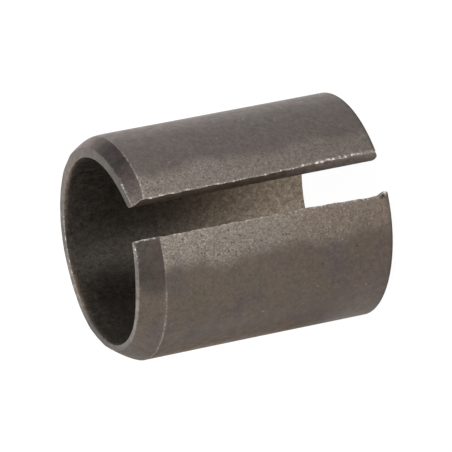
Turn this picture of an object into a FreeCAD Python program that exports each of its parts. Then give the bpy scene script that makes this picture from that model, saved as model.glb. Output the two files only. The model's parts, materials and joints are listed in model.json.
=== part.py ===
import FreeCAD, Part
import os

import Sketcher

# A mounting bushing: one strip of steel rolled into a split sleeve with a straight open gap.
# It stands on its plain end at z = 0, with its axis on +Z and the tapered lead-in at the top.
# The gap runs the whole length and is centred on -Y, between a lip at -X and a lip at +X.
# All sizes are in millimetres.

# Driving sizes: name, value, what it measures
SIZES = (
    ("outer_diameter", 15.0, "over the rolled sleeve"),
    ("wall", 1.35, "thickness of the strip"),
    ("length", 17.5, "of the sleeve along its axis"),
    ("gap_width", 2.75, "between the lips, across the outside"),
    ("lead_length", 1.2, "of the lead-in along the axis"),
    ("lead_depth", 0.75, "of the lead-in, off the outside radius"),
    ("lead_offset", 0.15, "of the lead-in's axis from the sleeve's, towards +X"),
    ("mouth_break", 0.1, "of the bore's edge at the lead-in end"),
    ("foot_break", 0.1, "of the outside edge at the plain end"),
    ("hollow_start", 0.5, "from the plain end to the hollow in the -X lip"),
    ("hollow_ramp", 0.5, "from the start of the hollow to its deepest place"),
    ("hollow_length", 5.0, "of the whole hollow along the lip"),
    ("hollow_depth", 0.2, "of the hollow into the lip"),
    ("corner_radius", 0.3, "of the +X lip's corner at the plain end"),
    ("tip_radius", 0.4, "of the +X lip's corner at the lead-in end"),
)

# Sizes that follow from the driving ones: name, formula
DERIVED = (
    ("outer_radius", "=outer_diameter / 2"),
    ("bore_radius", "=outer_diameter / 2 - wall"),
    ("half_gap_angle", "=asin(gap_width / outer_diameter)"),
)

LOCAL_UPRIGHT = FreeCAD.Vector(0, 1, 0)


def make_sheet(doc):
    """Keeps every size in one spreadsheet, each under its own name."""
    sheet = doc.addObject("Spreadsheet::Sheet", "Sizes")
    row = 0
    for name, value, note in SIZES:
        row += 1
        sheet.set(f"A{row}", name)
        sheet.set(f"B{row}", str(value))
        sheet.set(f"C{row}", note)
        sheet.setAlias(f"B{row}", name)
    for name, formula in DERIVED:
        row += 1
        sheet.set(f"A{row}", name)
        sheet.set(f"B{row}", formula)
        sheet.setAlias(f"B{row}", name)
    doc.recompute()
    return sheet


def make_sketch(body, name, role):
    """Starts a sketch on the body's own origin plane of that role."""
    plane = next(item for item in body.Origin.OriginFeatures if item.Role == role)
    sketch = body.newObject("Sketcher::SketchObject", name)
    sketch.AttachmentSupport = (plane, "")
    sketch.MapMode = "FlatFace"
    return sketch


def hold_corner(sketch, kind, line, formula):
    """Holds a line's start to a formula, as its distance along one axis from the sketch's origin."""
    if formula == "0":
        axis = -2 if kind == "DistanceX" else -1
        sketch.addConstraint(Sketcher.Constraint("PointOnObject", line, 1, axis))
        return
    value = float(sketch.evalExpression(formula))
    if value > 0:
        index = sketch.addConstraint(Sketcher.Constraint(kind, -1, 1, line, 1, value))
        sketch.setExpression(f"Constraints[{index}]", formula)
    else:
        index = sketch.addConstraint(Sketcher.Constraint(kind, line, 1, -1, 1, -value))
        sketch.setExpression(f"Constraints[{index}]", f"-({formula})")


def draw_outline(sketch, corners):
    """Draws straight lines round the corners, each held at its distance from the axis and its height.

    In a sketch, point 1 of a line is its start and point 2 its end; the origin is point 1 of line -1.
    """
    points = [FreeCAD.Vector(sketch.evalExpression(x), sketch.evalExpression(y), 0) for x, y in corners]
    count = len(points)
    for line in range(count):
        sketch.addGeometry(Part.LineSegment(points[line], points[(line + 1) % count]), False)
    for line in range(count):
        sketch.addConstraint(Sketcher.Constraint("Coincident", line, 2, (line + 1) % count, 1))
    for line, (x, y) in enumerate(corners):
        hold_corner(sketch, "DistanceX", line, x)
        hold_corner(sketch, "DistanceY", line, y)


def roll_strip(body):
    """The rolled strip: its wall's section turned about the axis, as far as the gap allows."""
    section = make_sketch(body, "WallSection", "YZ_Plane")
    draw_outline(section, (
        ("Sizes.bore_radius", "0"),
        ("Sizes.outer_radius - Sizes.foot_break", "0"),
        ("Sizes.outer_radius", "Sizes.foot_break"),
        ("Sizes.outer_radius", "Sizes.length"),
        ("Sizes.bore_radius + Sizes.mouth_break", "Sizes.length"),
        ("Sizes.bore_radius", "Sizes.length - Sizes.mouth_break"),
    ))
    roll = body.newObject("PartDesign::Revolution", "RolledStrip")
    roll.Profile = section
    roll.ReferenceAxis = (section, ["V_Axis"])
    roll.Midplane = True
    roll.setExpression("Angle", "360 deg - 2 * Sizes.half_gap_angle")
    return roll


def turn_lead_in(body):
    """The tapered lead-in, turned a little off the sleeve's own axis."""
    section = make_sketch(body, "LeadInSection", "XZ_Plane")
    section.setExpression("AttachmentOffset.Base.x", "Sizes.lead_offset")
    inner, outer = "Sizes.outer_radius - 2 * Sizes.lead_depth", "Sizes.outer_radius + Sizes.lead_depth"
    low, high = "Sizes.length - 2 * Sizes.lead_length", "Sizes.length + Sizes.lead_length"
    draw_outline(section, ((inner, high), (outer, low), (outer, high)))
    groove = body.newObject("PartDesign::Groove", "LeadIn")
    groove.Profile = section
    groove.ReferenceAxis = (section, ["V_Axis"])
    groove.Angle = 360
    return groove


def hollow_lip(body):
    """The long shallow hollow that the shears left in the -X lip, cut square to its face."""
    outline = make_sketch(body, "LipHollowOutline", "XZ_Plane")
    outline.AttachmentOffset = FreeCAD.Placement(FreeCAD.Vector(), FreeCAD.Rotation(LOCAL_UPRIGHT, 0))
    outline.setExpression("AttachmentOffset.Rotation.Angle", "-Sizes.half_gap_angle")
    clear, low, high = "Sizes.hollow_depth", "Sizes.hollow_start", "Sizes.hollow_start + Sizes.hollow_length"
    deepest = "Sizes.hollow_start + Sizes.hollow_ramp"
    draw_outline(outline, (("0", low), (clear, low), (clear, high), ("0", high), ("-Sizes.hollow_depth", deepest)))
    pocket = body.newObject("PartDesign::Pocket", "LipHollow")
    pocket.Profile = outline
    pocket.Type = "ThroughAll"
    pocket.Reversed = True
    return pocket


def round_corner(doc, body, base, name, height, radius):
    """Rounds the +X lip's corner, across the wall, at one end of the sleeve."""
    doc.recompute()
    edges = [
        f"Edge{number}" for number, edge in enumerate(base.Shape.Edges, start=1)
        if isinstance(edge.Curve, Part.Line) and edge.CenterOfMass.x > 0
        and all(round(vertex.Z - height, 4) == 0 for vertex in edge.Vertexes)
    ]
    fillet = body.newObject("PartDesign::Fillet", name)
    fillet.Base = (base, edges)
    fillet.setExpression("Radius", radius)
    return fillet


def check_document(doc):
    """Stops with a message if any object of the document was left failed."""
    for item in doc.Objects:
        if "Invalid" in item.State or "Error" in item.State:
            raise RuntimeError(f"{item.Label} failed: {item.State}")


def check_removal(before, after):
    """Stops if a cutting feature took nothing off what it was made on."""
    if not after.Shape.Volume < before.Shape.Volume:
        raise RuntimeError(f"{after.Label} removes nothing")


def write_part(body):
    """Writes the body's shape to its own file, once it is whole and valid."""
    shape = body.Shape
    if shape.isNull() or not shape.isValid() or len(shape.Solids) != 1:
        raise RuntimeError(f"{body.Label} is not one valid solid")
    shape.exportStep(f"parts/{body.Label}.step")
    print(body.Label, "volume", round(shape.Volume, 3), "box", shape.BoundBox)


def main():
    """Builds the sleeve, feature by feature, and writes it."""
    os.makedirs("parts", exist_ok=True)
    doc = FreeCAD.newDocument("MountingBushing")
    sheet = make_sheet(doc)
    body = doc.addObject("PartDesign::Body", "Sleeve")
    body.Label = "sleeve"
    roll = roll_strip(body)
    lead_in = turn_lead_in(body)
    hollow = hollow_lip(body)
    corner = round_corner(doc, body, hollow, "LipCornerRound", 0, "Sizes.corner_radius")
    tip = round_corner(doc, body, corner, "LipTipRound", sheet.length, "Sizes.tip_radius")
    body.Tip = tip
    doc.recompute()
    check_document(doc)
    features = (roll, lead_in, hollow, corner, tip)
    for before, after in zip(features, features[1:]):
        check_removal(before, after)
    write_part(body)


main()
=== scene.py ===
import json
import logging
import math
from dataclasses import dataclass
from enum import Enum
from typing import Union

import bpy
import numpy as np
from mathutils import Matrix, Vector
from numpy.typing import NDArray

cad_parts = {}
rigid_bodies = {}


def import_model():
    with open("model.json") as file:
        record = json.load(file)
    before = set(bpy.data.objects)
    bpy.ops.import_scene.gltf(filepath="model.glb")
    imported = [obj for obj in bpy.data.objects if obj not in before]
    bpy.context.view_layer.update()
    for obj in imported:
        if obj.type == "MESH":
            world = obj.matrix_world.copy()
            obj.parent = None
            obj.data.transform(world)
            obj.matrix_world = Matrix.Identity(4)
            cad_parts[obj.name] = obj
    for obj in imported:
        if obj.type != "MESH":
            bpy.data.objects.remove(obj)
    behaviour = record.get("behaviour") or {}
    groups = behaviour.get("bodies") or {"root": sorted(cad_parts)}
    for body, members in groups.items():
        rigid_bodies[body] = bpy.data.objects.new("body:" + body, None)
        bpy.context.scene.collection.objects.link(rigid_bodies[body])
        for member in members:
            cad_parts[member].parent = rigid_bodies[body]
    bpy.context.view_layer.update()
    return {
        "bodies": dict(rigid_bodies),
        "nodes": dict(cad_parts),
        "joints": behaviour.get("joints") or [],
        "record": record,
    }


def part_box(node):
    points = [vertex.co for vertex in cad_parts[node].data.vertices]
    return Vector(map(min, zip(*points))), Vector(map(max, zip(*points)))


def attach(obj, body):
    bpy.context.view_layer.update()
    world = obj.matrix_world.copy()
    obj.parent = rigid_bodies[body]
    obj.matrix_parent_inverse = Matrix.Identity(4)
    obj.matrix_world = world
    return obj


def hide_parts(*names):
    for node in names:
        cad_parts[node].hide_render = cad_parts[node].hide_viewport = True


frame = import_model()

# The split mounting bushing, dressed: one rolled steel sleeve with a straight open gap, standing on its
# plain end. Shapes are worked out in millimetres and put into the meshes in metres.

MM = 0.001
LOG = logging.getLogger("bushing")

Array = NDArray[np.float64]
Indexes = NDArray[np.int64]
Colour = tuple[float, float, float]
Socket = bpy.types.NodeSocket
Feed = Union[Socket, float, Colour]

WHITE: Colour = (1.0, 1.0, 1.0)


def smooth_step(value: Array) -> Array:
    """Eases from 0 to 1: three times the square less twice the cube of the value held between 0 and 1.

    Args:
        value: any numbers.

    Returns:
        The eased numbers, in the same shape.
    """
    held = np.clip(value, 0.0, 1.0)
    return held * held * (3.0 - 2.0 * held)


def rise(value: Array, start: float, end: float) -> Array:
    """Eases from 0 at start to 1 at end, of which either may be the larger.

    Args:
        value: any numbers.
        start: where it is 0.
        end: where it is 1.

    Returns:
        The eased share of the way from start to end.
    """
    return smooth_step((value - start) / (end - start))


def hump(value: Array, middle: float, reach: Union[float, Array]) -> Array:
    """Falls off to both sides: e to the minus square of the distance from the middle over the reach.

    Args:
        value: any numbers.
        middle: where it is 1.
        reach: how far off it has fallen to e to the minus one.

    Returns:
        The height at each value.
    """
    return np.exp(-(((value - middle) / reach) ** 2))


def graded(length: float, fine: float, coarse: float, reach: float) -> Array:
    """Places along a length, close together at both ends and wider apart between.

    The spacing at a place is fine plus the eased share of its distance from the nearer end in reach, times
    the difference to coarse. The places are where the running sum of one over the spacing passes whole parts.

    Args:
        length: the whole length, in mm.
        fine: the spacing at the ends, in mm.
        coarse: the spacing further in than reach, in mm.
        reach: how far from an end the spacing grows, in mm.

    Returns:
        The places, from 0 to length.
    """
    samples = np.linspace(0.0, length, 4001)
    distance = np.minimum(samples, length - samples)
    spacing = fine + (coarse - fine) * smooth_step(distance / reach)
    steps = np.diff(samples) * 0.5 * (1.0 / spacing[1:] + 1.0 / spacing[:-1])
    running = np.concatenate(([0.0], np.cumsum(steps)))
    count = math.ceil(running[-1])
    return np.interp(np.linspace(0.0, running[-1], count + 1), running, samples)


def ripple(place: Array, shortest: float, longest: float, seed: int, waves: int = 12) -> Array:
    """An uneven line: a sum of sines of wavelengths between two lengths, each with its own chance phase.

    Args:
        place: where the line is read, in mm.
        shortest: the shortest wavelength, in mm.
        longest: the longest wavelength, in mm.
        seed: sets the phases.
        waves: how many sines are added.

    Returns:
        The line's height at each place, about one at its largest.
    """
    chance = np.random.default_rng(seed)
    lengths = np.geomspace(shortest, longest, waves) * chance.uniform(0.9, 1.1, waves)
    phases = chance.uniform(0.0, 2.0 * np.pi, waves)
    heights = np.sqrt(lengths / lengths.sum())
    return (np.sin(2.0 * np.pi * place[..., None] / lengths + phases) * heights).sum(-1) / 1.5


def lobe(angle: Array, centre: float, width: float) -> Array:
    """A bump over part of the way round: e to the minus square of the angle from its centre over its width.

    Args:
        angle: round the axis, in radians.
        centre: the bump's middle, in degrees.
        width: its half width, in degrees.

    Returns:
        The bump's height, 1 in its middle.
    """
    away = (np.degrees(angle) - centre + 180.0) % 360.0 - 180.0
    return np.exp(-((away / width) ** 2))


class Side(Enum):
    """The six sides of the strip, as the block that it was before it was rolled.

    Each one holds which of the block's three ways it lies across, and which end of that way it is at.
    """

    BORE = (0, 0)
    OUTSIDE = (0, -1)
    FOOT = (1, 0)
    MOUTH = (1, -1)
    UPPER_LIP = (2, 0)
    LOWER_LIP = (2, -1)


@dataclass(frozen=True)
class SleeveSizes:
    """The sleeve's sizes, in millimetres."""

    outer_radius: float
    bore_radius: float
    length: float
    gap_width: float = 2.75
    lead_length: float = 1.2
    lead_depth: float = 0.75
    lead_offset: float = 0.15
    edge_radius: float = 0.045

    @classmethod
    def from_frame(cls, loaded: dict) -> "SleeveSizes":
        """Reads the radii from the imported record's mounts and the length from the node's box.


        Returns:
            The sizes.
        """
        mounts = {mount["name"]: mount["dims"] for mount in loaded["record"]["mounts"]}
        return cls(
            outer_radius=mounts["outer_seat"]["r_mm"],
            bore_radius=mounts["bolt_bore"]["r_mm"],
            length=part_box("sleeve")[1].z / MM,
        )

    @property
    def first_angle(self) -> float:
        """The upper lip's angle about the axis from +X, in radians."""
        return -math.pi / 2 + math.asin(self.gap_width / 2 / self.outer_radius)

    @property
    def arc(self) -> float:
        """The outside's length round the axis, from the upper lip to the lower one."""
        return (2 * math.pi - 2 * math.asin(self.gap_width / 2 / self.outer_radius)) * self.outer_radius


@dataclass(frozen=True)
class LipWear:
    """How the lips, the lead-in, the rim and the foot depart from the true sleeve, in millimetres."""

    twist_foot: float = -0.06
    twist_mouth: float = 0.16
    twist_reach: float = 0.8
    ragged: float = 0.035
    ragged_reach: float = 0.22
    mouth_twist: float = 0.06
    mouth_twist_length: float = 6.0
    middle_twist: float = 0.07
    middle_twist_place: float = 9.0
    middle_twist_reach: float = 4.0
    nick_depth: float = 0.09
    nick_height: float = 16.6
    nick_size: float = 0.35
    nick_reach: float = 0.6
    set_back: float = 0.29
    set_back_reach: float = 4.5
    tip_set_back: float = 0.03
    tip_reach: float = 0.8
    set_forward: float = 0.08
    set_forward_reach: float = 9.0
    bulge: float = 0.07
    bulge_place: float = 4.5
    bulge_reach: float = 2.7
    flare: float = 0.06
    flare_length: float = 0.4
    flare_share: float = 0.3
    rim_uneven: float = 0.03
    rim_swell: float = 0.12
    rim_swell_top: float = 0.02
    rim_swell_low: float = 0.06
    rim_nip: float = 0.07
    rim_cut: float = 0.05
    rim_tilt: float = 0.09
    rim_forward: float = 0.026
    rim_forward_low: float = 0.04
    lead_bulge: float = 0.085
    shoulder_cut: float = 0.08
    shoulder_cut_reach: float = 0.35
    foot_flare: float = 0.028
    foot_rise: float = 0.065
    foot_rise_height: float = 3.0
    foot_burr: float = 0.4
    foot_burr_reach: float = 0.9
    foot_burr_height: float = 1.2
    low_twist: float = 0.06
    low_twist_length: float = 2.0
    shoulder_curl: float = 0.2
    shoulder_reach: float = 0.6
    low_shoulder_drop: float = 0.08
    low_shoulder_reach: float = 1.5
    hollow_start: float = 0.4
    hollow_ramp: float = 0.32
    hollow_length: float = 5.2
    hollow_depth: float = 0.17
    hollow_reach: float = 1.2
    hollow_lip: float = 0.75
    hollow_lip_blend: float = 0.2
    burr_height: float = 0.09
    burr_place: float = 0.2
    burr_size: float = 0.155
    burr_rise: float = 0.05
    tip_radius: float = 0.12
    corner_radius: float = 0.06
    corner_radius_inside: float = 0.13


class Sleeve:
    """The rolled sleeve: one closed skin over a block bent round the axis.

    A point of the block has three numbers: its share of the wall from the bore to the outside, its row
    along the axis, and its distance round the outside from the upper lip.
    """

    def __init__(self, sizes: SleeveSizes, wear: LipWear) -> None:
        """Keeps the sizes and lays out the block's lines.

        Args:
            sizes: the sleeve's sizes.
            wear: how it departs from the true form.
        """
        self.sizes = sizes
        self.wear = wear
        wall = sizes.outer_radius - sizes.bore_radius
        body = sizes.length - sizes.lead_length
        self.shares = graded(wall, 0.03, 0.16, 0.3) / wall
        below = graded(body, 0.03, 0.115, 0.8) / body
        above = graded(sizes.lead_length, 0.03, 0.09, 0.3) / sizes.lead_length
        self.rows = np.concatenate((below, 1.0 + above[1:]))
        self.arcs = graded(sizes.arc, 0.035, 0.33, 9.0)

    def skin(self) -> tuple[Indexes, Indexes]:
        """Lays four-cornered faces over the block's six sides, with their corners turned outwards.

        Returns:
            The faces, four corners each, and the block's points that they use, as three indexes each.
        """
        counts = (len(self.shares), len(self.rows), len(self.arcs))
        numbers = np.arange(np.prod(counts)).reshape(counts)
        faces = []
        for side in Side:
            way, end = side.value
            grid = np.take(numbers, end, axis=way)
            corners = np.stack((grid[:-1, :-1], grid[1:, :-1], grid[1:, 1:], grid[:-1, 1:]), -1)
            corners = corners.reshape(-1, 4)
            outwards = (end == 0) == (way in (0, 2))
            faces.append(corners if outwards else corners[:, ::-1])
        used, renumbered = np.unique(np.concatenate(faces), return_inverse=True)
        points = np.stack(np.unravel_index(used, counts), -1)
        return renumbered.reshape(-1, 4), points

    def shoulder_height(self, angle: Array) -> Array:
        """Height of the shoulder where the lead-in meets the outside.

        The lead-in is a cone about an axis set off towards +X, so it meets the outside higher on that side.

        Args:
            angle: round the axis, in radians.

        Returns:
            The height above the foot, in mm.
        """
        s = self.sizes
        depth = s.lead_depth - s.lead_offset * np.cos(angle)
        return s.length - depth * s.lead_length / s.lead_depth

    def outside_radius(self, angle: Array, height: Array) -> Array:
        """Radius of the outside: the cylinder's below the shoulder and the off-set cone's above it.

        Args:
            angle: round the axis, in radians.
            height: above the foot, in mm.

        Returns:
            The radius, in mm.
        """
        s = self.sizes
        slope = s.lead_depth / s.lead_length
        cone = s.outer_radius - s.lead_depth + (s.length - height) * slope + s.lead_offset * np.cos(angle)
        return np.minimum(s.outer_radius, cone)

    def round_edges(self, place: Array, size: Array) -> Array:
        """Rounds the block's edges: a point goes to the core's nearest point plus the radius outwards.

        The core is the block less the edge radius on every side.

        Args:
            place: three distances along the block's ways for each point, in mm.
            size: the block's three lengths at each point, in mm.

        Returns:
            The rounded places.
        """
        radius = self.sizes.edge_radius
        core = np.clip(place, radius, size - radius)
        away = place - core
        length = np.linalg.norm(away, axis=-1, keepdims=True)
        return core + away * (radius / np.maximum(length, radius * 0.5))

    def round_corner(self, arc: Array, height: Array, radius: Array) -> tuple[Array, Array]:
        """Rounds the block's corner at the upper lip and at height 0, seen square to the strip.

        In the square of the radius at the corner, squares about its inner corner become quarter circles:
        a point's way from that corner is shortened to the larger of its two parts.

        Args:
            arc: distance round from the lip, in mm.
            height: distance along from the end, in mm.
            radius: the corner's radius, in mm.

        Returns:
            The moved distances.
        """
        across = np.clip(radius - arc, 0.0, None)
        along = np.clip(radius - height, 0.0, None)
        larger = np.maximum(across, along)
        shrink = larger / np.maximum(np.hypot(across, along), 1e-9)
        inside = (across > 0.0) & (along > 0.0)
        return (
            np.where(inside, radius - across * shrink, arc),
            np.where(inside, radius - along * shrink, height),
        )

    def places(self, points: Indexes) -> dict[str, Array]:
        """Works out each point's place in the bent block, with its wear.

        Args:
            points: the points' three indexes.

        Returns:
            The points' coordinates in mm, under xyz, and the numbers that the finish needs.
        """
        s, wear = self.sizes, self.wear
        share, row, arc = self.shares[points[:, 0]], self.rows[points[:, 1]], self.arcs[points[:, 2]]
        angle = s.first_angle + arc / s.outer_radius
        up, low = arc, s.arc - arc
        shoulder = self.shoulder_height(angle) + wear.shoulder_curl * np.exp(-up / wear.shoulder_reach)
        shoulder -= wear.low_shoulder_drop * np.exp(-low / wear.low_shoulder_reach)
        height = np.where(row <= 1.0, row * shoulder, shoulder + (row - 1.0) * (s.length - shoulder))
        outside = self.outside_radius(angle, height)
        in_lead = smooth_step((height - shoulder) / (s.length - shoulder))
        swell = wear.rim_swell * lobe(angle, 120.0, 16.0) + wear.rim_swell_top * lobe(angle, 25.0, 22.0)
        swell += wear.rim_swell_low * lobe(angle, 232.0, 24.0) - wear.rim_cut * lobe(angle, 150.0, 13.0)
        swell -= wear.rim_nip * lobe(angle, 258.0, 9.0)
        outside = outside + in_lead * (wear.rim_uneven * ripple(arc, 1.2, 6.0, 31) + swell)
        up_lead = np.clip((height - shoulder) / (s.length - shoulder), 0.0, 1.0)
        bulging = lobe(angle, 175.0, 45.0) + 0.5 * lobe(angle, 3.0, 30.0)
        outside = outside + wear.lead_bulge * 4.0 * up_lead * (1.0 - up_lead) * bulging
        cut = np.exp(-np.abs(height - shoulder) / wear.shoulder_cut_reach) * lobe(angle, 5.0, 38.0)
        outside = outside - wear.shoulder_cut * cut
        wall = outside - s.bore_radius
        size = np.stack((wall, np.full_like(wall, s.length), np.full_like(wall, s.arc)), -1)
        place = self.round_edges(np.stack((share * wall, height, arc), -1), size)
        radial, height, arc = place.T
        corner = wear.corner_radius_inside + (wear.corner_radius - wear.corner_radius_inside) * share
        arc, height = self.round_corner(arc, height, corner)
        arc, below = self.round_corner(arc, s.length - height, np.full_like(arc, wear.tip_radius))
        height = s.length - below
        flare = np.clip(1.0 - below / wear.flare_length, 0.0, 1.0) ** 2
        flare = flare * smooth_step(1.0 - share / wear.flare_share)
        flared = 1.0 - 0.85 * lobe(angle, 72.0, 20.0) + 0.4 * lobe(angle, 12.0, 30.0)
        flared -= 0.5 * lobe(angle, 90.0, 12.0)
        radial = radial + wear.flare * flare * flared
        radial = radial + wear.foot_flare * np.clip(1.0 - height / s.length * 1.6, 0.0, 1.0)

        twist = wear.twist_foot + (wear.twist_mouth - wear.twist_foot) * height / s.length
        twist += wear.mouth_twist * smooth_step(1.0 - (s.length - height) / wear.mouth_twist_length)
        twist += wear.middle_twist * hump(height, wear.middle_twist_place, wear.middle_twist_reach)
        nick = np.exp(-(((height - wear.nick_height) / wear.nick_size) ** 2) - up / wear.nick_reach)
        twist = share * (twist * np.exp(-up / wear.twist_reach) - wear.nick_depth * nick)
        low_twist = wear.low_twist * smooth_step(1.0 - (s.length - height) / wear.low_twist_length)
        twist -= low_twist * share * np.exp(-low / wear.twist_reach)
        run_out = wear.hollow_start + wear.hollow_length
        ramp = smooth_step((height - wear.hollow_start) / wear.hollow_ramp)
        inside = smooth_step((wear.hollow_lip - share) / wear.hollow_lip_blend)
        notch = wear.hollow_depth * np.clip(1.0 - height / run_out, 0.0, 1.0) * np.maximum(ramp, inside)
        ragged = ripple(height, 0.25, 2.5, 11) * np.exp(-up / wear.ragged_reach)
        ragged += ripple(height, 0.25, 2.5, 12) * np.exp(-low / wear.ragged_reach)
        arc = arc - twist + wear.ragged * ragged * share ** 2 - notch * np.exp(-low / wear.hollow_reach)

        set_back = wear.set_back * np.exp(-up / wear.set_back_reach)
        set_back += wear.tip_set_back * np.exp(-up / wear.tip_reach)
        set_back -= wear.set_forward * smooth_step(2.0 - low / wear.set_forward_reach)
        set_back -= wear.bulge * hump(low, wear.bulge_place, wear.bulge_reach)
        set_back -= wear.rim_forward + wear.rim_forward_low * lobe(angle, 240.0, 28.0)
        set_back -= wear.rim_tilt * (1.0 - share) * lobe(angle, 233.0, 25.0)
        height = height - set_back * (0.85 + 0.15 * share) * in_lead
        falling = np.clip(1.0 - height / wear.foot_rise_height, 0.0, 1.0)
        height = height + wear.foot_rise * lobe(angle, 200.0, 34.0) * falling
        drawn = smooth_step((1.0 - share) / 0.75) * (1.0 - 0.25 * smooth_step((0.12 - share) / 0.12))
        drawn = drawn * np.clip(1.0 - height / wear.foot_burr_height, 0.0, 1.0) ** 2
        height = height - wear.foot_burr * drawn * hump(up, 0.0, wear.foot_burr_reach)

        burr = hump(height, wear.burr_place, wear.burr_size)
        arc = arc + wear.burr_height * burr * np.exp(-low / wear.burr_size)
        radial = radial + wear.burr_rise * burr * hump(low, 0.0, wear.burr_size) * share

        angle = s.first_angle + arc / s.outer_radius
        radius = s.bore_radius + radial
        xyz = np.stack((radius * np.cos(angle), radius * np.sin(angle), height), -1)
        unrolled = np.stack((arc, height, radial), -1)
        return {
            "xyz": xyz, "unrolled": unrolled, "share": share, "row": row,
            "up": up, "low": low, "angle": angle, "height": height,
        }

    def zones(self, points: Indexes, at: dict[str, Array]) -> dict[str, Array]:
        """Numbers, most from 0 to 1, that tell the finish where it is on the strip.

        Edges fade as the exponential of minus the square of the distance over their width.

        Args:
            points: the points' three indexes.
            at: what places gave.

        Returns:
            One number for each point, under each zone's name.
        """
        s = self.sizes
        last = (len(self.shares) - 1, len(self.rows) - 1, len(self.arcs) - 1)
        outside = (points[:, 0] == last[0]).astype(float)
        bore = (points[:, 0] == 0).astype(float)
        row, height, share = at["row"], at["height"], at["share"]
        up, low, angle = at["up"], at["low"], at["angle"]
        near_lip = np.minimum(up, low)
        wall = s.outer_radius - s.bore_radius
        inwards = (1.0 - share) * wall
        to_shoulder = np.where(row > 1.0, (row - 1.0) * s.lead_length, (1.0 - row) * s.length)
        to_mouth = np.where(row > 1.0, (2.0 - row) * s.lead_length, s.length)
        along = height / s.length
        above = (row > 1.0).astype(float)
        lead, shell = outside * above, outside * (1.0 - above)
        # The band by the gap is grit with a painted sheen, wider and stronger along the lower lip and towards
        # the mouth.
        band = np.where(low < up, 2.25, 1.65) + 0.35 * ripple(height, 1.5, 9.0, 21)
        strength = np.where(low < up, 0.52 + 0.56 * along, 0.32 + 0.42 * along)
        dark_low = low + 0.3 * ripple(height, 0.4, 2.0, 22)
        foot_half = rise(height, 7.5, 4.5)
        edge_width = 0.08 + 0.05 * foot_half
        at_rim = (points[:, 1] == last[1]).astype(float)
        return {
            "rim": at_rim,
            "rim_pale": self.rim_paleness(angle) * smooth_step(0.1 + near_lip / 6.0),
            "rim_edge": hump(np.hypot(inwards, to_mouth), 0.0, 0.08) * (
                0.012 + 0.78 * hump(up, 0.0, 2.0) + 0.1 * np.exp(-up / 5.0)
                + 0.5 * np.exp(-low / 0.6) + 0.03 * lobe(angle, 50.0, 30.0)
            ) + hump(wall - inwards, 0.0, 0.17) * at_rim * 0.85 * lobe(angle, 76.0, 26.0)
            + (to_mouth < 0.05) * 0.5 * hump(low, 0.6, 0.6),
            # Painted shade: the lead-in darker near both lips, standing for a dark reflection.
            "lead_painted_shade": lead * np.maximum(
                rise(up, 8.6, 5.0) * smooth_step(0.08 + up / 3.8),
                rise(dark_low, 4.6, 2.8) * 0.75,
            ),
            "bore": bore,
            "grainy": bore + lead * (0.9 * np.exp(-up / 1.8) + 0.4 * np.exp(-low / 0.9)),
            "cut_face": ((points[:, 2] == 0) | (points[:, 2] == last[2])).astype(float),
            "along": along,
            "cut_along": along * (points[:, 2] == 0),
            "share": share,
            # Painted light and shade, as a factor on the colour.
            "shade": self.shade(outside, up, low, height, angle),
            "lip_edge": hump(np.hypot(near_lip, inwards), 0.0, edge_width) * np.where(
                up < low, (0.5 + 0.5 * foot_half) * (1.0 - 0.75 * above),
                0.26 + 0.35 * above + 0.18 * hump(height, 3.0, 1.8),
            ),
            "shoulder": outside * hump(to_shoulder, 0.0, 0.05) * np.where(
                up < low, 0.1 + 0.4 * np.exp(-up / 2.5), 0.05 + 0.3 * rise(low, 3.0, 4.0)
            ),
            # Grit with a painted sheen by the gap, and painted light on the lead-in next to the lips.
            "by_gap": outside * np.where(
                above > 0.0, 0.35 * np.exp(-up / 0.9) + 0.15 * np.exp(-low / 0.5),
                strength * smooth_step((band - near_lip) / 1.1 + 0.5),
            ),
            "foot_edge": outside * hump(height, 0.0, 0.13),
            # Painted shadow beside the burr, and a painted highlight on its tip.
            "burr": np.exp(-(((height - 0.43) / 0.18) ** 2) - ((low - 0.18) / 0.15) ** 2),
            "burr_tip_painted_highlight": outside * np.exp(-(((height - 0.22) / 0.075) ** 2) - (low / 0.13) ** 2),
            "low_side": rise(low, 7.0, 5.0),
            "patched": 0.25 + 0.75 * rise(low, 0.5, 2.5) * rise(low, 15.0, 12.0),
            # Painted shade: where the grazing reflections are tinted darker, on the lower side, two stretches
            # of the lead-in and a band of the upper side.
            "under": lead * (0.6 * lobe(angle, 168.0, 16.0) + 0.5 * lobe(angle, -21.0, 14.0))
            + shell * (
                rise(low, 7.0, 10.0) * rise(low, 15.0, 12.0) * rise(height, 2.0, 6.0)
                + 0.2 * rise(up, 4.5, 6.5) * rise(up, 12.0, 10.0)
            ),
            "browned": (low < up) * rise(height, 9.0, 5.0),
            "scuffed": shell * rise(low, 2.5, 3.5) * rise(low, 11.0, 10.0),
            "cool": smooth_step((np.cos(angle + math.radians(20.0)) + 0.1) / 0.9),
            "mouth_rust": (lobe(angle, 10.0, 40.0) + lobe(angle, 98.0, 18.0)) * (
                hump(to_mouth, 0.0, 0.5) * smooth_step(1.0 - share * 6.0)
            ),
        }

    def rim_paleness(self, angle: Array) -> Array:
        """How pale the rim is: a base and three pale stretches, less one dark stain.

        Args:
            angle: round the axis, in radians.

        Returns:
            The paleness, from 0 to 1.
        """
        pale = 0.17 + 0.66 * lobe(angle, 86.0, 32.0) + 0.15 * lobe(angle, 172.0, 15.0)
        pale += 0.45 * lobe(angle, 226.0, 30.0)
        dark = 0.6 * lobe(angle, 130.0, 15.0)
        return np.clip(pale - dark, 0.0, 1.0)

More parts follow.
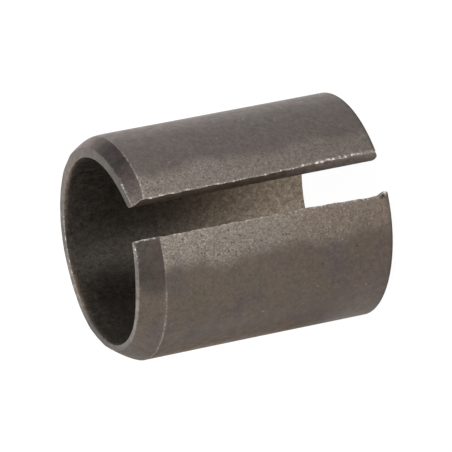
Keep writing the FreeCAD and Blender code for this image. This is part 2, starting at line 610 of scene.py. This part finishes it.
    def shade(self, outside: Array, up: Array, low: Array, height: Array, angle: Array) -> Array:
        """Painted light and shade, as a factor on the colour, with one dark stain by the rim.

        Outside, painted light makes it paler well round from the upper lip and at the foot on the lower side,
        and painted shade makes it darker well round from the lower lip. The lead-in, the rim and the bore
        towards the mouth have painted stretches of both.

        Args:
            outside: one on the outside and zero elsewhere.
            up: distance round from the upper lip, in mm.
            low: distance round from the lower lip, in mm.
            height: above the foot, in mm.
            angle: round the axis, in radians.

        Returns:
            The factor, about one.
        """
        # Painted light: paler well round from the upper lip, towards the top's grazing edge.
        upper = 0.34 * rise(up, 5.0, 6.5) + 0.5 * rise(up, 6.7, 8.2)
        upper *= rise(up, 13.0, 10.0)
        # Painted shade: darker well round from the lower lip, standing for a dimmer reflection there.
        under = 0.1 * rise(height, 2.0, 5.0) + 0.14 * rise(height, 7.0, 12.0)
        under *= rise(low, 7.0, 10.0)
        # Painted light: paler at the foot on the lower side.
        foot = 0.35 * rise(low, 5.0, 8.0) * rise(height, 4.5, 1.0)
        lower = (foot - under) * rise(low, 16.0, 12.0)
        # Bore and rim towards the mouth: painted light and shade in stretches round the axis, with a dark
        # stain at 128 degrees.
        by_mouth = rise(height, 11.5, 15.0)
        by_rim = rise(height, 15.6, 17.1)
        bore = by_mouth * (0.4 * lobe(angle, 15.0, 35.0) - 0.15 * lobe(angle, 72.0, 12.0))
        bore -= by_rim * 0.2 * lobe(angle, 82.0, 14.0)
        bore -= by_mouth * (0.45 - 0.25 * by_rim) * lobe(angle, 102.0, 18.0)
        at_rim = rise(height, 17.1, 17.35)
        bore += at_rim * (0.4 * rise(low, 11.0, 9.0) - 0.2 * lobe(angle, 128.0, 14.0))
        at_edge = rise(height, 17.2, 17.4)
        bore += at_edge * (0.2 * lobe(angle, 30.0, 30.0) + 0.65 * lobe(angle, 98.0, 18.0))
        bore += 0.12 * lobe(angle, 55.0, 12.0) * hump(height, 11.5, 2.0)
        # Lead-in: painted light in two stretches and painted shade in three.
        lead = 0.02 * lobe(angle, 190.0, 10.0) - 0.08 * lobe(angle, 215.0, 12.0)
        lead += 0.1 * lobe(angle, -6.0, 11.0)
        lead -= 0.08 * lobe(angle, 168.0, 12.0) + 0.05 * lobe(angle, -26.0, 10.0)
        lead *= rise(height, 16.3, 16.6)
        return 1.0 + outside * (upper + lower + lead) + (1.0 - outside) * bore

    def build(self, finish: "PhosphatedSteel") -> bpy.types.Object:
        """Makes the sleeve's mesh and dresses it.

        Args:
            finish: the steel's finish.

        Returns:
            The sleeve.
        """
        faces, points = self.skin()
        at = self.places(points)
        mesh = bpy.data.meshes.new("sleeve_skin")
        mesh.from_pydata((at["xyz"] * MM).tolist(), [], faces.tolist())
        mesh.polygons.foreach_set("use_smooth", np.ones(len(faces), bool))
        unrolled = mesh.attributes.new("unrolled", "FLOAT_VECTOR", "POINT")
        unrolled.data.foreach_set("vector", at["unrolled"].astype(np.float32).ravel())
        for name, values in self.zones(points, at).items():
            attribute = mesh.attributes.new(name, "FLOAT", "POINT")
            attribute.data.foreach_set("value", values.astype(np.float32))
        mesh.update()
        piece = bpy.data.objects.new("sleeve_skin", mesh)
        bpy.context.scene.collection.objects.link(piece)
        mesh.materials.append(finish.build())
        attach(piece, "root")
        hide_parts("sleeve")
        LOG.info("sleeve: %d faces", len(faces))
        return piece


class Graph:
    """Adds shader nodes to one tree and joins them."""

    def __init__(self, tree: bpy.types.NodeTree) -> None:
        """Starts with an empty tree.

        Args:
            tree: the tree to fill.
        """
        self.tree = tree
        tree.nodes.clear()

    def add(self, kind: str, feeds: dict[Union[str, int], Feed], **settings: object) -> bpy.types.Node:
        """Adds a node.

        Args:
            kind: the node's type.
            feeds: for each input, by name or number, a socket to join to it or its own value.
            settings: the node's other properties.

        Returns:
            The node.
        """
        node = self.tree.nodes.new(kind)
        for name, value in settings.items():
            setattr(node, name, value)
        for name, feed in feeds.items():
            socket = node.inputs[name]
            if isinstance(feed, Socket):
                self.tree.links.new(feed, socket)
            elif isinstance(feed, tuple) and len(socket.default_value) == 4:
                socket.default_value = (*feed, 1.0)
            else:
                socket.default_value = feed
        return node

    def zone(self, name: str) -> Socket:
        """Reads one of the piece's own numbers.

        Args:
            name: the number's name.

        Returns:
            Its socket.
        """
        return self.add("ShaderNodeAttribute", {}, attribute_name=name).outputs["Fac"]

    def noise(self, coords: Socket, grain: float, detail: float, rough: float) -> Socket:
        """Cloudy noise.

        Args:
            coords: where it is read, in mm.
            grain: the size of its largest spots, in mm.
            detail: how many finer layers it has.
            rough: how strong each finer layer is.

        Returns:
            Its socket, from 0 to 1.
        """
        feeds = {"Vector": coords, "Scale": 1.0 / grain, "Detail": detail, "Roughness": rough}
        return self.add("ShaderNodeTexNoise", feeds).outputs["Fac"]

    def crystals(self, coords: Socket, size: float) -> Socket:
        """Packed grains, each with a chance lightness of its own.

        Args:
            coords: where they are read, in mm.
            size: the grains' size, in mm.

        Returns:
            Its socket, from 0 to 1.
        """
        cells = self.add("ShaderNodeTexVoronoi", {"Vector": coords, "Scale": 1.0 / size}).outputs
        return self.add("ShaderNodeSeparateColor", {"Color": cells["Color"]}).outputs[1]

    def moved(self, coords: Socket, shift: float) -> Socket:
        """The same coordinates shifted, so that a second pattern differs from the first.

        Args:
            coords: the coordinates.
            shift: how far, the same in each of the three ways, in mm.

        Returns:
            The shifted coordinates' socket.
        """
        return self.add("ShaderNodeMapping", {"Vector": coords, "Location": (shift, shift, shift)}).outputs[0]

    def dots(self, coords: Socket, spacing: float, size: float, kept: float) -> Socket:
        """Scattered dots: the middles of cells, in a share of the cells.

        Args:
            coords: where they are read, in mm.
            spacing: the cells' size, in mm.
            size: the dots' radius, in mm.
            kept: the share of cells with a dot.

        Returns:
            The socket, 1 in a dot's middle and 0 between dots.
        """
        cells = self.add("ShaderNodeTexVoronoi", {"Vector": coords, "Scale": 1.0 / spacing}).outputs
        chosen = self.add("ShaderNodeSeparateColor", {"Color": cells["Color"]}).outputs[0]
        inside = self.span(cells["Distance"], 0.4 * size / spacing, size / spacing, 1.0, 0.0)
        return self.sum("MULTIPLY", inside, self.span(chosen, 1.0 - kept, 1.02 - kept))

    def span(self, value: Feed, low: float, high: float, to_low: float = 0.0, to_high: float = 1.0) -> Socket:
        """Maps a range of a value to another, eased and held at its ends.

        Args:
            value: the value.
            low: where the range starts.
            high: where it ends.
            to_low: what low becomes.
            to_high: what high becomes.

        Returns:
            The mapped value's socket.
        """
        feeds = {"Value": value, "From Min": low, "From Max": high, "To Min": to_low, "To Max": to_high}
        return self.add("ShaderNodeMapRange", feeds, interpolation_type="SMOOTHSTEP").outputs["Result"]

    def sum(self, operation: str, first: Feed, second: Feed) -> Socket:
        """Joins two values by one operation.

        Args:
            operation: such as MULTIPLY or ADD.
            first: the first value.
            second: the second value.

        Returns:
            The result's socket.
        """
        return self.add("ShaderNodeMath", {0: first, 1: second}, operation=operation).outputs[0]

    def blend(self, share: Feed, first: Feed, second: Feed, how: str = "MIX") -> Socket:
        """Mixes two colours.

        Args:
            share: how much of the second is used.
            first: the colour at 0.
            second: the colour at 1.
            how: the way of mixing, such as MIX or MULTIPLY.

        Returns:
            The mixed colour's socket.
        """
        feeds = {0: share, 6: first, 7: second}
        return self.add("ShaderNodeMix", feeds, data_type="RGBA", blend_type=how).outputs[2]


@dataclass(frozen=True)
class PhosphatedSteel:
    """Steel under a dark phosphate coat with a little oil, gritty with a painted sheen by the gap, worn
    bright on its edges.
    """

    warm: Colour = (0.142, 0.112, 0.092)
    warm_mouth: Colour = (0.151, 0.12, 0.098)
    cool: Colour = (0.131, 0.111, 0.102)
    purple: Colour = (0.124, 0.1, 0.095)
    olive: Colour = (0.136, 0.117, 0.086)
    rust: Colour = (0.168, 0.116, 0.09)
    # Grit with a painted sheen by the gap.
    sand_and_sheen: Colour = (0.265, 0.23, 0.196)
    sand_brown_and_sheen: Colour = (0.25, 0.203, 0.163)
    # Painted shade on the lead-in, with its blue and plum tints below.
    lead_painted_shade: Colour = (0.04, 0.033, 0.031)
    rim_low: Colour = (0.105, 0.088, 0.077)
    rim_pale: Colour = (0.27, 0.235, 0.2)
    bore_mouth: Colour = (0.125, 0.108, 0.092)
    # Painted light: the bore's colour at the foot.
    bore_foot_painted_light: Colour = (0.5, 0.41, 0.32)
    mouth_rust: Colour = (0.145, 0.105, 0.077)
    lead_blue: Colour = (0.033, 0.035, 0.035)
    lead_plum: Colour = (0.05, 0.036, 0.035)
    cut_mouth: Colour = (0.31, 0.247, 0.2)
    cut_foot: Colour = (0.22, 0.171, 0.148)
    worn: Colour = (0.8, 0.75, 0.69)
    pit: Colour = (0.03, 0.024, 0.02)
    speck_and_glint: Colour = (0.5, 0.46, 0.42)
    # Painted shade: the tint of the dimmed grazing reflections.
    painted_dark_reflection_tint: Colour = (0.75, 0.66, 0.58)
    metallic: float = 0.9
    grain_size: float = 0.08
    bump_height: float = 0.02
    bump_strength: float = 0.7

    def build(self) -> bpy.types.Material:
        """Makes the finish's material.

        Returns:
            The material.
        """
        material = bpy.data.materials.new("phosphated_steel")
        material.use_nodes = True
        g = Graph(material.node_tree)
        coords = g.add("ShaderNodeAttribute", {}, attribute_name="unrolled").outputs["Vector"]
        grain = g.crystals(coords, self.grain_size)
        colour = self.shell_colour(g, coords, grain)
        colour = self.zone_colours(g, coords, colour)
        colour = self.grain_colour(g, coords, colour, grain)
        colour = self.worn_edges(g, coords, colour)
        ups = g.noise(coords, 0.18, 3.0, 0.7)
        height = g.sum("MULTIPLY", ups, g.sum("ADD", g.zone("by_gap"), 0.25))
        bump = g.add("ShaderNodeBump", {
            "Height": height, "Distance": self.bump_height * MM, "Strength": self.bump_strength,
        })
        rough = g.span(g.noise(coords, 0.6, 5.0, 0.6), 0.3, 0.7, 0.36, 0.5)
        # Painted shade: a darker tint on the grazing reflections over that zone.
        edge_tint = g.blend(g.zone("under"), WHITE, self.painted_dark_reflection_tint)
        shader = g.add("ShaderNodeBsdfPrincipled", {
            "Base Color": colour, "Metallic": self.metallic, "Roughness": rough, "Specular Tint": edge_tint,
            "Normal": bump.outputs["Normal"],
        })
        g.add("ShaderNodeOutputMaterial", {"Surface": shader.outputs["BSDF"]})
        return material

    def shell_colour(self, g: Graph, coords: Socket, grain: Socket) -> Socket:
        """The coat outside: brown or greyer, with purple, olive and rusty patches, and grit with a painted
        sheen by the gap.

        Args:
            g: the material's graph.
            coords: the piece's own coordinates.
            grain: the fine grain.

        Returns:
            The colour's socket.
        """
        coat = g.blend(g.span(g.zone("along"), 0.25, 0.55), self.warm, self.warm_mouth)
        coat = g.blend(g.zone("cool"), coat, self.cool)
        patches = g.span(g.noise(coords, 3.2, 4.0, 0.6), 0.5, 0.64, 0.0, 0.8)
        coat = g.blend(g.sum("MULTIPLY", patches, g.zone("patched")), coat, self.purple)
        patches = g.span(g.noise(g.moved(coords, 40.0), 2.2, 4.0, 0.6), 0.52, 0.7, 0.0, 0.7)
        coat = g.blend(g.sum("MULTIPLY", patches, g.zone("patched")), coat, self.olive)
        patches = g.span(g.noise(g.moved(coords, 80.0), 1.6, 4.0, 0.65), 0.58, 0.72, 0.0, 0.6)
        coat = g.blend(patches, coat, self.rust)
        # Grit with a painted sheen by the gap.
        sand_and_sheen = g.span(g.sum("ADD", g.noise(coords, 0.22, 3.0, 0.75), grain), 0.5, 1.5, 0.72, 1.0)
        gap_band_colour = g.blend(g.zone("browned"), self.sand_and_sheen, self.sand_brown_and_sheen)
        return g.blend(g.sum("MULTIPLY", g.zone("by_gap"), sand_and_sheen), coat, gap_band_colour)

    def zone_colours(self, g: Graph, coords: Socket, colour: Socket) -> Socket:
        """Puts the lead-in, the rim, the bore and the cut faces over the outside's colour. The lead-in's dark
        band is painted shade, and the bore grows paler towards the foot as painted light.

        Args:
            g: the material's graph.
            coords: the piece's own coordinates.
            colour: the colour so far.

        Returns:
            The colour's socket.
        """
        along = g.zone("along")
        blotch = g.span(g.noise(coords, 0.8, 3.0, 0.6), 0.35, 0.65, 0.8, 1.0)
        # The lead-in's painted shade, tinted blue on the lower side and plum in patches.
        blue = g.sum("MULTIPLY", g.span(g.noise(coords, 1.1, 2.0, 0.5), 0.42, 0.6), g.zone("low_side"))
        lead = g.blend(blue, self.lead_painted_shade, self.lead_blue)
        lead = g.blend(g.span(g.noise(g.moved(coords, 30.0), 0.9, 2.0, 0.5), 0.5, 0.64), lead, self.lead_plum)
        colour = g.blend(g.sum("MULTIPLY", g.zone("lead_painted_shade"), blotch), colour, lead)
        mottled = g.span(g.noise(coords, 0.5, 3.0, 0.7), 0.35, 0.65, 0.1, 1.0)
        rim = g.blend(g.sum("MULTIPLY", mottled, g.zone("rim_pale")), self.rim_low, self.rim_pale)
        colour = g.blend(g.zone("rim"), colour, rim)
        # Painted light: the bore grows paler and warmer towards the foot.
        bore = g.blend(g.span(along, 0.04, 0.69), self.bore_foot_painted_light, self.bore_mouth)
        colour = g.blend(g.zone("bore"), colour, bore)
        colour = g.blend(g.sum("MULTIPLY", g.zone("mouth_rust"), 0.6), colour, self.mouth_rust)
        cut = g.blend(g.span(g.zone("cut_along"), 0.45, 0.75), self.cut_foot, self.cut_mouth)
        cut = g.blend(1.0, cut, g.span(g.zone("share"), 0.1, 1.0, 0.78, 1.3), "MULTIPLY")
        mottled = g.span(g.noise(g.moved(coords, 15.0), 0.4, 3.0, 0.7), 0.35, 0.65, 0.8, 1.2)
        cut = g.blend(1.0, cut, mottled, "MULTIPLY")
        return g.blend(g.zone("cut_face"), colour, cut)

    def grain_colour(self, g: Graph, coords: Socket, colour: Socket, grain: Socket) -> Socket:
        """Shades the whole skin by its fine grain and by the painted light and shade, darkens the foot's edge
        and scatters pits, and specks that are partly painted glints.

        Args:
            g: the material's graph.
            coords: the piece's own coordinates.
            colour: the colour so far.
            grain: the fine grain.

        Returns:
            The colour's socket.
        """
        fine = g.noise(g.moved(coords, 20.0), 0.25, 3.0, 0.65)
        colour = g.blend(1.0, colour, g.span(fine, 0.25, 0.75, 0.86, 1.14), "MULTIPLY")
        mottled = g.span(g.noise(g.moved(coords, 50.0), 0.42, 3.0, 0.7), 0.35, 0.65, -0.2, 0.2)
        mottled = g.sum("ADD", g.sum("MULTIPLY", mottled, g.zone("grainy")), 1.0)
        colour = g.blend(1.0, colour, mottled, "MULTIPLY")
        rougher = g.sum("ADD", g.zone("by_gap"), g.zone("grainy"))
        spread = g.sum("ADD", g.sum("MULTIPLY", rougher, 0.32), 0.2)
        factor = g.sum("ADD", g.sum("MULTIPLY", g.sum("SUBTRACT", grain, 0.5), spread), 1.0)
        colour = g.blend(1.0, colour, factor, "MULTIPLY")
        # Multiplies the colour by the painted light and shade.
        colour = g.blend(1.0, colour, g.zone("shade"), "MULTIPLY")
        colour = g.blend(g.sum("MULTIPLY", g.zone("foot_edge"), 0.6), colour, self.pit)
        pits = g.dots(coords, 0.9, 0.08, 0.3)
        colour = g.blend(g.sum("MULTIPLY", pits, 0.75), colour, self.pit)
        # Bright specks, partly nicks and partly painted glints.
        specks = g.dots(g.moved(coords, 60.0), 0.75, 0.06, 0.3)
        colour = g.blend(g.sum("MULTIPLY", specks, 0.7), colour, self.speck_and_glint)
        rougher = g.sum("ADD", g.zone("by_gap"), g.sum("MULTIPLY", g.zone("grainy"), 0.3))
        more = g.sum("MULTIPLY", g.dots(g.moved(coords, 70.0), 0.32, 0.085, 0.6), rougher)
        colour = g.blend(g.sum("MULTIPLY", more, 0.75), colour, self.pit)
        # Painted glints: more bright specks by the gap.
        more = g.sum("MULTIPLY", g.dots(g.moved(coords, 90.0), 0.3, 0.08, 0.6), g.zone("by_gap"))
        colour = g.blend(g.sum("MULTIPLY", more, 0.55), colour, self.speck_and_glint)
        scuffs = g.sum("MULTIPLY", g.dots(g.moved(coords, 110.0), 1.5, 0.13, 0.3), g.zone("scuffed"))
        return g.blend(g.sum("MULTIPLY", scuffs, 0.35), colour, self.speck_and_glint)

    def worn_edges(self, g: Graph, coords: Socket, colour: Socket) -> Socket:
        """Wears the lips', the rim's and the shoulder's edges to bright steel in spots, and paints a shadow
        beside the burr and a highlight on its tip.

        Args:
            g: the material's graph.
            coords: the piece's own coordinates.
            colour: the colour so far.

        Returns:
            The colour's socket.
        """
        spots = g.span(g.noise(coords, 0.22, 4.0, 0.7), 0.42, 0.58, 0.15, 1.0)
        beads = g.sum("ADD", 0.4, g.sum("MULTIPLY", g.dots(coords, 0.24, 0.14, 0.75), 1.9))
        beaded = g.sum("MULTIPLY", g.sum("MAXIMUM", g.zone("lip_edge"), g.zone("rim_edge")), beads)
        edges = g.sum("MAXIMUM", beaded, g.zone("shoulder"))
        colour = g.blend(g.sum("MULTIPLY", edges, spots), colour, self.worn)
        # Painted shadow beside the burr and a painted highlight on its tip.
        colour = g.blend(g.zone("burr"), colour, self.pit)
        return g.blend(g.zone("burr_tip_painted_highlight"), colour, self.worn)


@dataclass(frozen=True)
class Studio:
    """A plain white floor and backdrop with soft lamps."""

    floor_half: float = 1.5
    floor_drop: float = 0.4
    floor_grey: float = 0.9
    seen_white: float = 0.97
    seen_shadow: float = 0.13
    glossy_white: float = 0.32
    fill_strength: float = 0.45
    lamp_distance: float = 0.5

    def white_to_eye(self, g: Graph) -> Socket:
        """One for camera, glossy and transmission rays, and zero for the rest.

        Args:
            g: the graph that it is used in.

        Returns:
            The number's socket.
        """
        path = g.add("ShaderNodeLightPath", {}).outputs
        seen = g.sum("MAXIMUM", path["Is Camera Ray"], path["Is Glossy Ray"])
        return g.sum("MAXIMUM", seen, path["Is Transmission Ray"])

    def white_and_shadow(self, g: Graph, white: float, shadow: float) -> Socket:
        """Plain white of its own, and a share of the lit floor, which holds the shadow.

        Args:
            g: the floor's graph.
            white: the strength of the plain white.
            shadow: the share of the lit floor.

        Returns:
            The joined shader's socket.
        """
        grey = self.floor_grey * shadow
        lit = g.add("ShaderNodeBsdfDiffuse", {"Color": (grey, grey, grey)}).outputs[0]
        plain = g.add("ShaderNodeEmission", {"Color": WHITE, "Strength": white}).outputs[0]
        return g.add("ShaderNodeAddShader", {0: plain, 1: lit}).outputs[0]

    def build_floor(self) -> None:
        """Lays the floor: a pale sheet that looks plain white, less a share of the object's shadow."""
        half, low = self.floor_half, -self.floor_drop * MM
        corners = [(-half, -half, low), (half, -half, low), (half, half, low), (-half, half, low)]
        mesh = bpy.data.meshes.new("floor")
        mesh.from_pydata(corners, [], [(0, 1, 2, 3)])
        floor = bpy.data.objects.new("floor", mesh)
        bpy.context.scene.collection.objects.link(floor)
        material = bpy.data.materials.new("floor_white")
        material.use_nodes = True
        g = Graph(material.node_tree)
        grey = self.floor_grey
        lit = g.add("ShaderNodeBsdfDiffuse", {"Color": (grey, grey, grey)}).outputs[0]
        seen = self.white_and_shadow(g, self.seen_white, self.seen_shadow)
        mirrored = self.white_and_shadow(g, self.glossy_white, 1.0 - self.glossy_white)
        glossy = g.add("ShaderNodeLightPath", {}).outputs["Is Glossy Ray"]
        eye = g.add("ShaderNodeMixShader", {0: glossy, 1: seen, 2: mirrored}).outputs[0]
        mixed = g.add("ShaderNodeMixShader", {0: self.white_to_eye(g), 1: lit, 2: eye}).outputs[0]
        g.add("ShaderNodeOutputMaterial", {"Surface": mixed})
        mesh.materials.append(material)

    def build_world(self) -> None:
        """Surrounds the scene with white, at a lower strength for the light that it sheds."""
        world = bpy.data.worlds.new("surround")
        bpy.context.scene.world = world
        world.use_nodes = True
        g = Graph(world.node_tree)
        fill = g.add("ShaderNodeBackground", {"Color": WHITE, "Strength": self.fill_strength}).outputs[0]
        white = g.add("ShaderNodeBackground", {"Color": WHITE, "Strength": 1.0}).outputs[0]
        mixed = g.add("ShaderNodeMixShader", {0: self.white_to_eye(g), 1: fill, 2: white}).outputs[0]
        g.add("ShaderNodeOutputWorld", {"Surface": mixed})

    def build_lamp(
        self, name: str, azimuth: float, elevation: float, size: float, watts: float, shine: bool
    ) -> None:
        """Hangs a square soft lamp that faces the object.

        Args:
            name: the lamp's name.
            azimuth: round the object, in degrees, with 0 at -Y.
            elevation: above the floor, in degrees.
            size: its side, in metres.
            watts: its power.
            shine: whether it shows as a highlight on steel.
        """
        lamp = bpy.data.lights.new(name, "AREA")
        lamp.size = size
        lamp.energy = watts
        holder = bpy.data.objects.new(name, lamp)
        back = direction(azimuth, elevation)
        holder.location = back * self.lamp_distance
        holder.rotation_mode = "QUATERNION"
        holder.rotation_quaternion = back.to_track_quat("Z", "Y")
        holder.visible_camera = False
        holder.visible_glossy = shine
        bpy.context.scene.collection.objects.link(holder)

    def build(self) -> None:
        """Lays the floor, sets the surround and hangs the lamps."""
        self.build_floor()
        self.build_world()
        self.build_lamp("key_lamp", 50.0, 38.0, 0.18, 2.0, shine=False)
        self.build_lamp("front_lamp", -6.0, 9.0, 0.12, 0.4, shine=True)
        view = bpy.context.scene.view_settings
        view.view_transform = "Standard"
        LOG.info("studio: floor, surround and lamps")


def direction(azimuth: float, elevation: float) -> Vector:
    """The direction from the object to a place round it.

    Args:
        azimuth: in degrees, 0 at -Y and 90 at +X.
        elevation: above the floor, in degrees.

    Returns:
        The unit vector.
    """
    a, e = math.radians(azimuth), math.radians(elevation)
    return Vector((math.sin(a) * math.cos(e), -math.cos(a) * math.cos(e), math.sin(e)))


@dataclass(frozen=True)
class PhotoCamera:
    """The photograph's camera: a long lens, turned so that the sleeve lies across the picture."""

    azimuth: float = -11.996
    elevation: float = 22.258
    distance: float = 265.69
    aim: tuple[float, float, float] = (0.027, -0.102, 8.559)
    axis_angle: float = -168.814
    lens: float = 321.4
    sensor: float = 36.0
    nearest: float = 0.01

    def build(self) -> None:
        """Makes the camera. The sleeve's +Z points at axis_angle in the picture, counted from the right."""
        back = direction(self.azimuth, self.elevation)
        along = (Vector((0, 0, 1)) - back * back.z).normalized()
        across = back.cross(along)
        turn = math.radians(self.axis_angle)
        right = along * math.cos(turn) - across * math.sin(turn)
        up = along * math.sin(turn) + across * math.cos(turn)
        camera = bpy.data.cameras.new("photo_camera")
        camera.lens = self.lens
        camera.sensor_width = self.sensor
        camera.clip_start = self.nearest
        holder = bpy.data.objects.new("photo_camera", camera)
        place = (Vector(self.aim) + back * self.distance) * MM
        holder.matrix_world = Matrix.Translation(place) @ Matrix((right, up, back)).transposed().to_4x4()
        bpy.context.scene.collection.objects.link(holder)
        bpy.context.scene.camera = holder
        LOG.info("camera: %.1f mm lens at %.0f mm", self.lens, self.distance)


def main() -> None:
    """Builds the camera, the sleeve and the studio."""
    logging.basicConfig(level=logging.INFO, format="%(name)s: %(message)s")
    PhotoCamera().build()
    Sleeve(SleeveSizes.from_frame(frame), LipWear()).build(PhosphatedSteel())
    Studio().build()


if __name__ == "__main__":
    main()
